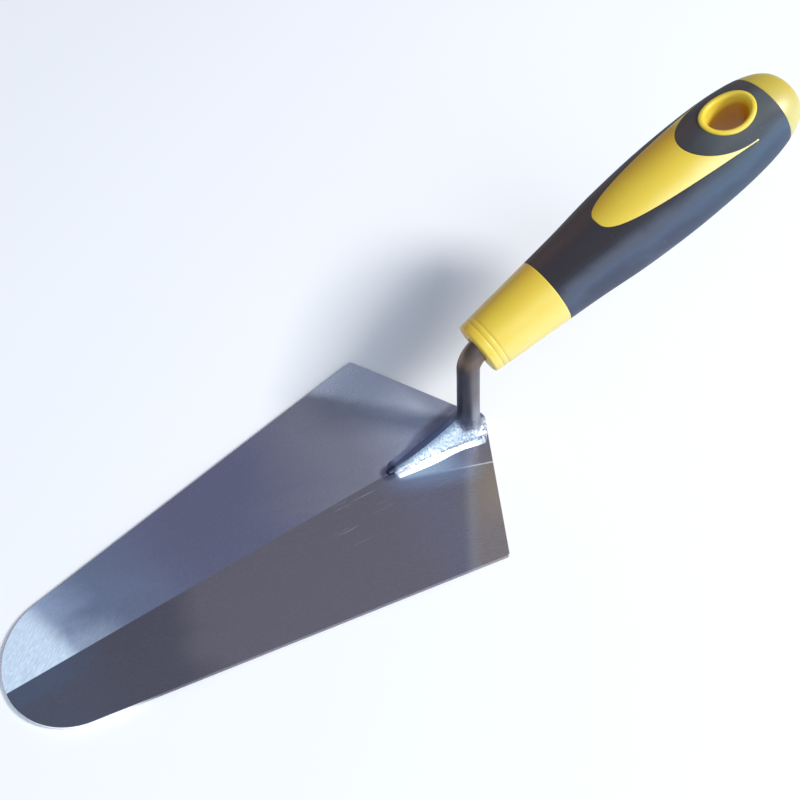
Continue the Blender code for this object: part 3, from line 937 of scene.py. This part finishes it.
class Nodes:
    """A material's node tree. x, y and z are a point's place in the drawing frame."""

    def __init__(self, name):
        self.material = bpy.data.materials.new(name)
        self.material.use_nodes = True
        self.tree = self.material.node_tree
        self.shader = self.tree.nodes["Principled BSDF"]
        outputs = self.tree.nodes.new("ShaderNodeTexCoord").outputs
        self.place = Value(self, outputs["Object"])
        self.normal = Value(self, outputs["Normal"])
        corner = [c / MM for c in HEEL]
        self.x, self.y, self.z = (self.part(self.place, i) * (1 / MM) - corner[i] for i in range(3))

    def set(self, socket, value):
        if isinstance(value, Value):
            self.tree.links.new(value.socket, socket)
        else:
            socket.default_value = (*value, 1.0) if socket.type == "RGBA" else value

    def add(self, kind, inputs, output=0, **settings):
        """Adds a node, sets its inputs by name or number, and gives one of its outputs."""
        node = self.tree.nodes.new(kind)
        for key, value in settings.items():
            setattr(node, key, value)
        for key, value in inputs.items():
            self.set(node.inputs[key], value)
        return Value(self, node.outputs[output])

    def part(self, vector, index):
        return self.add("ShaderNodeSeparateXYZ", {0: vector}, index)

    def math(self, operation, *values):
        return self.add("ShaderNodeMath", dict(enumerate(values)), operation=operation)

    def larger(self, a, b):
        return self.math("MAXIMUM", a, b)

    def noise(self, scale, detail, roughness, distortion=0.0, turn=0.0, shift=0.0):
        """Noise over the part, of so many features to a millimetre each way, turned about Z."""
        turned_place = {"Vector": self.place, "Rotation": (0, 0, turn), "Scale": (1 / MM,) * 3}
        turned_place = self.add("ShaderNodeMapping", turned_place, vector_type="POINT")
        stretched = {"Vector": turned_place, "Scale": scale, "Location": (shift, 0, 0)}
        stretched = self.add("ShaderNodeMapping", stretched, vector_type="POINT")
        settings = {"Vector": stretched, "Scale": 1.0, "Detail": detail, "Roughness": roughness}
        return self.add("ShaderNodeTexNoise", {**settings, "Distortion": distortion}, "Fac")

    def range(self, value, low, high, to_low=0.0, to_high=1.0):
        """Goes smoothly from to_low to to_high as the value goes from low to high, then holds."""
        ends = {"From Min": low, "From Max": high, "To Min": to_low, "To Max": to_high}
        settings = {"Value": value, **ends}
        return self.add("ShaderNodeMapRange", settings, "Result", interpolation_type="SMOOTHSTEP")

    def mix(self, share, a, b):
        return self.add("ShaderNodeMix", {0: share, 6: a, 7: b}, 2, data_type="RGBA")

    def zones(self, value, colour, *stops):
        """A colour that turns to the colour of each stop as the value goes from its low to its high."""
        for low, high, after in stops:
            colour = self.mix(self.range(value, low, high), colour, after)
        return colour

    def ramp(self, value, *stops):
        """A colour that follows a value from -1 to 1 through stops given as (value, colour)."""
        node = self.tree.nodes.new("ShaderNodeValToRGB")
        self.set(node.inputs[0], self.math("MULTIPLY_ADD", value, 0.5, 0.5))
        elements = node.color_ramp.elements
        while len(elements) < len(stops):
            elements.new(1.0)
        for element, (at, colour) in zip(elements, stops):
            element.position = at * 0.5 + 0.5
            element.color = (*colour, 1.0)
        return Value(self, node.outputs[0])

    def tinted(self, colour, tint):
        return self.add("ShaderNodeVectorMath", {0: colour, 1: tint}, operation="MULTIPLY")

    def scaled(self, colour, factor):
        return self.add("ShaderNodeVectorMath", {0: colour, "Scale": factor}, operation="SCALE")

    def bump(self, height, depth, strength):
        """depth is the height of one unit, in millimetres."""
        settings = {"Strength": strength, "Distance": depth * MM, "Height": height}
        return self.add("ShaderNodeBump", settings, "Normal")

    def finish(self, **inputs):
        for key, value in inputs.items():
            self.set(self.shader.inputs[key.replace("_", " ")], value)
        return self.material


# Lines on the blade that its tones follow, each through one point as (x, y) with its slope.
BURR_FROM, BURR_SLOPE = (34.3, 6.8), 0.393  # the edge of the ground hollow beside the left weld
PALE_FROM, PALE_SLOPE = (10.0, -4.0), 1.06  # behind it the right half is painted paler, as painted light
MIRRORED_FROM, MIRRORED_SLOPE = (9.1, 0.0), 0.684  # behind it the left half carries a painted reflection of the handle
SHADE_OUTER, SHADE_OUTER_SLOPE = (6.8, -11.8), 0.20  # the shade beside the right weld ends on these
SHADE_INNER, SHADE_INNER_SLOPE = (39.2, -0.93), 0.52
SCRATCH_AND_GLINT_STEEL = (0.80, 0.84, 0.90)


def blade_tones(n, clouds, left):
    """The broad tones of the two halves, painted as the reflections and light seen in the steel, with a
    painted reflection of the handle on the left half. left is 1 on the left half and 0 on the right one.
    """
    away = n.x + (clouds - 0.5) * 40.0
    on_right = n.zones(
        away,
        (0.40, 0.44, 0.56),
        (18.0, 52.0, (0.262, 0.260, 0.312)),
        (48.0, 92.0, (0.165, 0.170, 0.260)),
        (105.0, 150.0, (0.20, 0.245, 0.36)),
        (142.0, 166.0, (0.45, 0.55, 0.74)),
    )
    pale_line = (n.x - PALE_FROM[0]) * PALE_SLOPE + n.y + (clouds - 0.5) * 12.0 - PALE_FROM[1]
    on_right = n.zones(pale_line, on_right, (2.0, -7.0, (0.585, 0.625, 0.735)))

    on_left = n.zones(
        away,
        (0.190, 0.184, 0.245),
        (28.0, 58.0, (0.187, 0.171, 0.205)),
        (112.0, 132.0, (0.118, 0.114, 0.147)),
    )
    bluish = n.zones(n.y, (0.118, 0.145, 0.212), (4.0, 10.0, (0.121, 0.130, 0.172)))
    on_left = n.zones(n.x, on_left, (144.0, 168.0, bluish))
    mirrored_line = n.x - MIRRORED_FROM[0] - (n.y - MIRRORED_FROM[1]) * MIRRORED_SLOPE
    on_left = n.zones(
        mirrored_line, on_left, (2.6, -2.2, (0.283, 0.270, 0.302)), (-1.5, -6.0, (0.270, 0.236, 0.236))
    )
    return n.mix(left, on_right, on_left)


def tip_wear_reflection_and_rim(n, tone, grain, left):
    """The right half has a painted reflection at the tip, pale with a ragged edge, where it is also worn;
    the tip's rim is bright.
    """
    right = 1.0 - left
    # painted reflection at the tip, which is also where the steel is worn
    ragged = n.x + (grain - 0.5) * 5.0 + (n.y + 17.0) * 0.35
    patch = n.range(ragged, 143.0, 156.0, 0.0, 0.30) * right * n.range(n.y + grain * 4.0, -9.0, 0.0)
    tip_wear_and_reflection = n.larger(n.range(ragged, 158.5, 167.0) * right, patch)
    streaks = n.noise((0.5, 2.2, 1.0), 4.0, 0.7, turn=radians(-37), shift=9.0)
    pale = n.zones(streaks, (0.57, 0.70, 0.82), (0.34, 0.66, (0.78, 0.89, 0.99)))
    rim = n.range(n.part(n.normal, 2), 0.6, 0.3) * n.range(n.x, 140.0, 155.0)
    return n.mix(rim, n.mix(tip_wear_and_reflection, tone, pale), (1.0, 1.0, 1.0)), tip_wear_and_reflection, rim


def shaded_by_weld(n, tone):
    """The right half has painted shade beside its weld, from the heel to the toe, which is painted
    darkest.
    """
    outer = (n.x - SHADE_OUTER[0]) * SHADE_OUTER_SLOPE + SHADE_OUTER[1]
    inner = (n.x - SHADE_INNER[0]) * SHADE_INNER_SLOPE + SHADE_INNER[1]
    shade = n.range(n.y - n.larger(outer, inner), -1.0, 1.6) * n.range(n.y, 0.6, -0.2)
    shaded = n.zones(n.x, (0.225, 0.212, 0.275), (14.0, 30.0, (0.150, 0.175, 0.280)))
    tone = n.mix(shade * 0.85, tone, shaded)
    # painted shade round the toe of the foot
    from_toe = (n.x - 41.5) ** 2.0 + n.y**2.0
    return n.mix(n.range(from_toe, 14.0, 4.0, 0.0, 0.9), tone, (0.090, 0.095, 0.150))


def scratches_and_burr_glint(n, burr_line):
    """Long, thin scratches near the crease, and a painted highlight for the burr on the burr line."""
    scratches = n.noise((0.045, 4.2, 1.0), 2.0, 0.4, turn=radians(4), shift=3.0)
    near = n.range(n.y, 30.0, 2.0) * n.range(n.y, -1.5, 0.5) * n.range(n.x, 85.0, 55.0)
    # painted highlight: the light a burr would catch along the burr line
    burr_glint = (1.0 - n.range(abs(burr_line), 0.0, 0.55)) * n.range(n.x, 30.0, 20.0, 0.0, 0.35)
    burr_glint = burr_glint * n.range(n.x, 7.0, 8.5)
    burr_glint = burr_glint + burr_glint * n.range(n.x, 20.0, 12.0, 0.0, 1.3)
    return n.larger(n.range(scratches, 0.70, 0.73) * near * 0.45, burr_glint)


def reflections_by_weld(n, tone, burr_line):
    """The left half carries painted reflections of the foot's bright flank beside its weld, and is darker
    along the burr line near the heel.
    """
    # painted reflection of the foot's bright flank
    facet_reflection = n.range(burr_line, 9.0, 0.0) * n.range(n.x, 8.0, 26.0)
    facet_reflection = facet_reflection * n.range(n.x, 50.0, 33.0) * n.range(n.y, 1.0, 3.5)
    tone = n.mix(facet_reflection * 0.50, tone, (0.30, 0.42, 0.66))
    # painted reflection inside the burr line towards the toe
    inside = n.range(burr_line, 1.2, -1.2) * n.range(n.y, 1.5, 3.0)
    near_toe = n.range(n.x, 13.0, 33.0, 0.0, 0.85) * n.range(n.x, 41.5, 37.5)
    tone = n.mix(inside * near_toe, tone, (0.50, 0.66, 0.84))
    at_heel = n.range(burr_line, 0.4, -0.4) * n.range(n.x, 19.0, 11.0, 0.0, 0.45)
    return n.mix(at_heel, tone, (0.15, 0.16, 0.25))


def blade_steel():
    n = Nodes("ground_blade_steel")
    left = n.range(n.y, -0.12, 0.12)
    clouds = n.noise((0.020, 0.035, 1.0), 4.0, 0.55, 0.4, turn=0.3)
    specks = n.noise((1.5, 1.5, 1.5), 3.0, 0.7)
    grain_right = n.noise((0.30, 3.9, 1.0), 4.0, 0.65, turn=radians(-37))
    grain_left = n.noise((0.30, 3.9, 1.0), 4.0, 0.65, turn=radians(20), shift=40.0)
    grain = n.add("ShaderNodeMix", {0: left, 2: grain_right, 3: grain_left}, data_type="FLOAT")

    uneven = n.range(specks, 0.40, 0.62, -0.045, 0.045) + n.range(grain, 0.3, 0.7, -0.015, 0.015)
    tone = n.scaled(blade_tones(n, clouds, left), uneven + 1.0)
    tone, tip_wear_and_reflection, rim = tip_wear_reflection_and_rim(n, tone, grain, left)
    tone = shaded_by_weld(n, tone)
    burr_line = n.y + (n.x - BURR_FROM[0]) * BURR_SLOPE - BURR_FROM[1] + (specks - 0.5) * 0.5
    scratch_and_glint = scratches_and_burr_glint(n, burr_line)
    tone = reflections_by_weld(n, n.mix(scratch_and_glint, tone, SCRATCH_AND_GLINT_STEEL), burr_line)

    # the tip's painted reflection is also made rougher and less metallic, as worn steel
    rough = n.range(grain, 0.25, 0.75, -0.02, 0.02) + n.range(clouds, 0.3, 0.7, 0.27, 0.31) + tip_wear_and_reflection * 0.12
    metallic = 0.50 - n.larger(tip_wear_and_reflection, scratch_and_glint) * 0.25 - rim * 0.25
    normal = n.bump(grain * 0.2 + specks, 0.002, 0.10)
    return n.finish(Base_Color=tone, Metallic=metallic, Roughness=rough, Normal=normal)


def bar_colour(n, off_axis, blotch):
    """The bar is dark, warmer at its bend, with a painted highlight down the back of its left side, where
    the light falls.
    """
    dark = n.zones(blotch, (0.130, 0.120, 0.136), (0.3, 0.7, (0.165, 0.152, 0.160)))
    dark = n.zones(n.z, dark, (34.5, 42.5, (0.225, 0.160, 0.118)))
    dark = n.zones(n.z, dark, (15.0, 8.0, n.tinted(dark, (1.10, 1.28, 1.60))))
    across = n.y * 0.5541 - off_axis * 0.8323
    # painted highlight on the side of the bar towards the light
    lit_streak = n.range(across, 0.3, 1.7) * n.range(n.z, 26.0, 11.0, 0.15, 1.0)
    return n.mix(lit_streak * n.range(across, 4.0, 2.9, 0.35, 1.0), dark, (0.33, 0.34, 0.40))


def foot_colour(n, blotch, scale_marks):
    """The foot is ground bright and frosted on its left flank and painted brighter towards the heel as
    light, with painted shade towards the ridge and at the back beneath the bar; its right flank and its
    toe are painted dark as shade.
    """
    frosted = n.zones(scale_marks, (0.30, 0.37, 0.44), (0.36, 0.60, (0.60, 0.65, 0.68)))
    # painted light: brighter towards the heel
    bright = n.zones(n.x, frosted, (24.0, 16.0, n.scaled(frosted, 1.42)))
    # painted shade towards the ridge
    from_ridge = n.y + (blotch - 0.5) * 0.8
    bright = n.mix(n.range(from_ridge, 2.0, 0.2, 0.0, 0.80), bright, (0.15, 0.205, 0.30))
    # painted shade of the bar at the back of the foot
    shade_at_back = n.range(n.x, 8.5, 5.5) * n.range(n.z, 2.2, 4.6, 0.0, 0.8)
    bright = n.mix(shade_at_back, bright, (0.19, 0.20, 0.25))
    # painted shade over the right flank, then at the toe
    bright = n.zones(n.y, bright, (0.35, -0.35, (0.24, 0.30, 0.48)))
    return n.zones(n.x, bright, (37.8, 39.6, (0.060, 0.070, 0.125)))


def shank_steel():
    n = Nodes("forged_shank_steel")
    blotch = n.noise((0.16, 0.16, 0.10), 4.0, 0.55, 0.3)
    scale_marks = n.noise((1.6, 1.6, 1.1), 4.0, 0.65)
    off_axis = n.x - SHANK_X - n.z * tan(SHANK_LEAN)
    low = n.range(n.z + scale_marks * 2.0, 7.4, 4.9)
    off_bar = n.range(off_axis**2.0 + n.y**2.0, 21.0, 38.0) * n.range(n.z, 13.0, 10.5)
    ground = n.larger(low, off_bar)
    colour = n.mix(ground, bar_colour(n, off_axis, blotch), foot_colour(n, blotch, scale_marks))
    rough = n.range(ground, 0.0, 1.0, 0.40, 0.46) + n.range(scale_marks, 0.3, 0.7, -0.05, 0.07)
    normal = n.bump(scale_marks, 0.035, 0.5)
    return n.finish(Base_Color=colour, Metallic=0.92, Roughness=rough, Normal=normal)


def ground_weld():
    """The left bead: ground bright, and left pitted along the inside of its heel end."""
    n = Nodes("ground_weld_metal")
    scale_marks = n.noise((1.4, 2.2, 2.2), 4.0, 0.6)
    pitted = (15.0 - n.x) * 0.39 + 5.0 - (n.y + scale_marks * 0.6)
    pitted = n.range(pitted, -0.4, 0.5) * n.range(n.x, 17.0, 14.0)
    bright = n.zones(scale_marks, (0.80, 0.84, 0.88), (0.35, 0.62, (0.95, 0.96, 0.98)))
    dull = n.zones(scale_marks, (0.20, 0.25, 0.34), (0.40, 0.56, (0.62, 0.68, 0.77)))
    rough = n.range(scale_marks, 0.3, 0.7, 0.34, 0.48) + pitted * 0.1
    normal = n.bump(scale_marks, 0.04, 0.3)
    return n.finish(Base_Color=n.mix(pitted, bright, dull), Metallic=0.95, Roughness=rough, Normal=normal)


def dark_weld():
    """The right bead, never ground: soft and dull, painted dark blue as shade, bluer along its middle,
    painted paler towards its heel and darkest at its toe.
    """
    n = Nodes("dark_weld_metal")
    clouds = n.noise((0.25, 0.5, 0.5), 3.0, 0.5)
    # painted shade: the bead lies in the foot's shadow
    colour = n.zones(clouds, (0.22, 0.26, 0.41), (0.35, 0.65, (0.25, 0.29, 0.44)))
    colour = n.mix(n.range(n.x, 24.0, 8.0, 0.0, 0.8), colour, (0.36, 0.35, 0.45))
    colour = n.zones(n.x, colour, (36.5, 39.5, (0.080, 0.088, 0.145)))
    rough = n.range(clouds, 0.3, 0.7, 0.44, 0.52)
    return n.finish(Base_Color=colour, Metallic=0.5, Roughness=rough, Normal=n.bump(clouds, 0.02, 0.2))


def core_plastic(name, bore=False):
    """Yellow plastic, painted redder on its right flank as shade and paler on its left flank as a painted
    highlight. In a bore the colour deepens below the mouth as painted shade.
    """
    n = Nodes(name)
    clouds = n.noise((0.05, 0.05, 0.05), 3.0, 0.5)
    fine = n.noise((7.0, 7.0, 7.0), 2.0, 0.5)
    across = n.y + n.range(clouds, 0.3, 0.7, -1.5, 1.5)
    run, rise = n.x - HANDLE_FRONT[0], n.z - HANDLE_FRONT[1]
    s = rise * sin(HANDLE_TILT) - run * cos(HANDLE_TILT)
    # painted shade on the right flank, varying along the handle
    flank = n.zones(
        s, (1.0, 0.57, 0.055), (29.0, 50.0, (0.70, 0.39, 0.028)), (90.0, 94.0, (0.86, 0.62, 0.065))
    )
    # from the painted shade to the plain yellow, then a painted highlight on the left flank
    colour = n.zones(
        across, flank, (-12.0, 5.0, (0.79, 0.575, 0.053)), (4.5, 13.0, (0.82, 0.71, 0.25))
    )
    # the butt is painted darker as shade, and paler on its left as a painted highlight
    butt = n.zones(across, (0.56, 0.42, 0.048), (0.0, 12.0, (0.56, 0.50, 0.18)))
    colour = n.zones(s, colour, (113.0, 117.0, butt))
    if bore:  # the painted shade is deeper on the side of the butt
        depth = abs(run * sin(HANDLE_TILT) + rise * cos(HANDLE_TILT)) - (s - HOLE_AT) * 0.5
        colour = n.zones(depth, colour, (8.0, 5.2, (0.60, 0.29, 0.004)))
    return n.finish(
        Base_Color=colour,
        Roughness=n.range(fine, 0.3, 0.7, 0.34, 0.43),
        Normal=n.bump(fine, 0.012, 0.5),
        IOR=1.5,
        Specular_IOR_Level=0.35 if bore else 0.7,
        Subsurface_Weight=0.12,
        Subsurface_Radius=(2.0, 1.1, 0.3),
        Subsurface_Scale=MM,
    )


def grip_rubber():
    """Grey rubber with light and shade painted by the way it faces: browner as painted shade where it
    faces right, bluer as a painted sheen where it faces left towards the sky, and a painted highlight near
    the hole.
    """
    n = Nodes("grey_grip_rubber")
    clouds = n.noise((0.045, 0.06, 0.06), 4.0, 0.55, 0.5)
    fine = n.noise((5.0, 5.0, 5.0), 3.0, 0.6)
    dust = n.noise((1.1, 1.1, 1.1), 2.0, 0.5, shift=7.0)
    turned_left = n.part(n.normal, 1) + n.range(clouds, 0.3, 0.7, -0.05, 0.05)
    # painted light and shade, by the way the surface faces
    colour = n.ramp(
        turned_left,
        (-0.35, (0.098, 0.068, 0.060)),
        (0.0, (0.048, 0.038, 0.042)),
        (0.3, (0.034, 0.030, 0.036)),
        (0.5, (0.028, 0.024, 0.026)),
        (0.62, (0.030, 0.029, 0.040)),
        (0.78, (0.080, 0.091, 0.118)),
        (0.9, (0.080, 0.100, 0.148)),
        (1.0, (0.060, 0.071, 0.106)),
    )
    colour = n.mix(n.range(n.x, -48.0, -85.0, 0.0, 0.75), colour, n.tinted(colour, (0.80, 1.04, 1.10)))
    # painted highlight beside the hole
    highlight_near_hole = n.range(n.x, -62.0, -82.0, 0.0, 0.55) * n.range(turned_left, -0.25, 0.15)
    highlight_near_hole = highlight_near_hole * n.range(turned_left, 0.75, 0.45, 0.15, 1.0)
    colour = n.mix(highlight_near_hole, colour, (0.112, 0.128, 0.130))
    colour = n.mix(n.range(dust, 0.72, 0.78, 0.0, 0.35), colour, (0.25, 0.28, 0.33))
    return n.finish(
        Base_Color=colour,
        Roughness=n.range(clouds, 0.3, 0.7, 0.55, 0.63) + n.range(fine, 0.3, 0.7, -0.04, 0.04),
        Normal=n.bump(fine, 0.03, 0.5),
        Specular_IOR_Level=0.18,
        Sheen_Weight=0.02,
        Sheen_Roughness=0.5,
        Sheen_Tint=(0.5, 0.68, 1.0),
    )


def floor_paint():
    n = Nodes("pale_floor")
    clouds = n.noise((0.004, 0.004, 0.004), 3.0, 0.5)
    colour = n.mix(clouds, (0.875, 0.872, 0.868), (0.89, 0.887, 0.88))
    return n.finish(Base_Color=colour, Roughness=0.85)


# ---------------------------------------------------------------- stage

def add_camera():
    data = bpy.data.cameras.new("camera")
    data.sensor_width = SENSOR
    data.lens = FOCAL_SHARE * SENSOR
    data.shift_x, data.shift_y = CAMERA_SHIFT
    data.clip_start = 0.01
    camera = bpy.data.objects.new("camera", data)
    right = Vector(CAMERA_RIGHT).normalized()
    up = -Vector(CAMERA_DOWN)
    up = (up - right * up.dot(right)).normalized()
    back = right.cross(up)
    turn = Matrix((right, up, back)).transposed().to_4x4()
    camera.matrix_world = Matrix.Translation(HEEL + Vector(CAMERA_AT) * MM) @ turn
    bpy.context.scene.collection.objects.link(camera)
    bpy.context.scene.camera = camera


def add_softbox(name, azimuth, elevation, size, radiance, colour):
    """A rectangular light that faces the tool, with its radiance given directly."""
    data = bpy.data.lights.new(name, "AREA")
    data.shape = "RECTANGLE"
    data.size, data.size_y = size
    data.energy = radiance * pi * size[0] * size[1]
    data.color = colour
    lamp = bpy.data.objects.new(name, data)
    a, e = radians(azimuth), radians(elevation)
    away = Vector((cos(a) * cos(e), sin(a) * cos(e), sin(e)))
    distance, middle = 2.6, Vector((0.0, 0.0, 0.03))
    lamp.location = middle + away * distance
    lamp.rotation_euler = away.to_track_quat("Z", "Y").to_euler()
    bpy.context.scene.collection.objects.link(lamp)


def add_world():
    """An even studio sky, brighter on the left than on the right."""
    world = bpy.data.worlds.new("studio")
    world.use_nodes = True
    tree = world.node_tree
    place = tree.nodes.new("ShaderNodeTexCoord")
    split = tree.nodes.new("ShaderNodeSeparateXYZ")
    share = tree.nodes.new("ShaderNodeMapRange")
    share.inputs["From Min"].default_value = -0.9
    share.inputs["From Max"].default_value = 0.5
    mix = tree.nodes.new("ShaderNodeMix")
    mix.data_type = "RGBA"
    mix.inputs[6].default_value = (0.14, 0.13, 0.16, 1.0)
    mix.inputs[7].default_value = (0.38, 0.45, 0.58, 1.0)
    tree.links.new(place.outputs["Generated"], split.inputs[0])
    tree.links.new(split.outputs[1], share.inputs["Value"])
    tree.links.new(share.outputs["Result"], mix.inputs[0])
    tree.links.new(mix.outputs[2], tree.nodes["Background"].inputs["Color"])
    bpy.context.scene.world = world


def add_floor():
    size, cells = 3.0, 24
    steps = spread(-size, size, cells + 1)
    points = [(x, y, 0.0) for y in steps for x in steps]
    corners = [j * (cells + 1) + i for j in range(cells) for i in range(cells)]
    faces = [(a, a + 1, a + cells + 2, a + cells + 1) for a in corners]
    floor = new_object("floor", points, faces)
    floor.data.materials.append(floor_paint())


add_blade(blade_steel())
add_shank(shank_steel())
add_bead("bead_left", "weld_bead_left", 1, ground_weld(), 11.0)
add_bead("bead_right", "weld_bead_right", -1, dark_weld(), 47.0)
add_core(core_plastic("yellow_core_plastic"), core_plastic("yellow_eyelet_plastic", bore=True))
add_grip(grip_rubber())
add_floor()
add_camera()
add_softbox("key", 138.6, 42.0, (0.55, 0.55), 62.0, (1.0, 0.985, 0.97))
add_softbox("window", 82.0, 46.0, (2.0, 1.7), 1.9, (0.72, 0.87, 1.0))
add_softbox("strip", 110.0, 51.0, (0.7, 0.7), 4.0, (0.92, 0.96, 1.0))
add_world()
bpy.context.scene.view_settings.view_transform = "Standard"
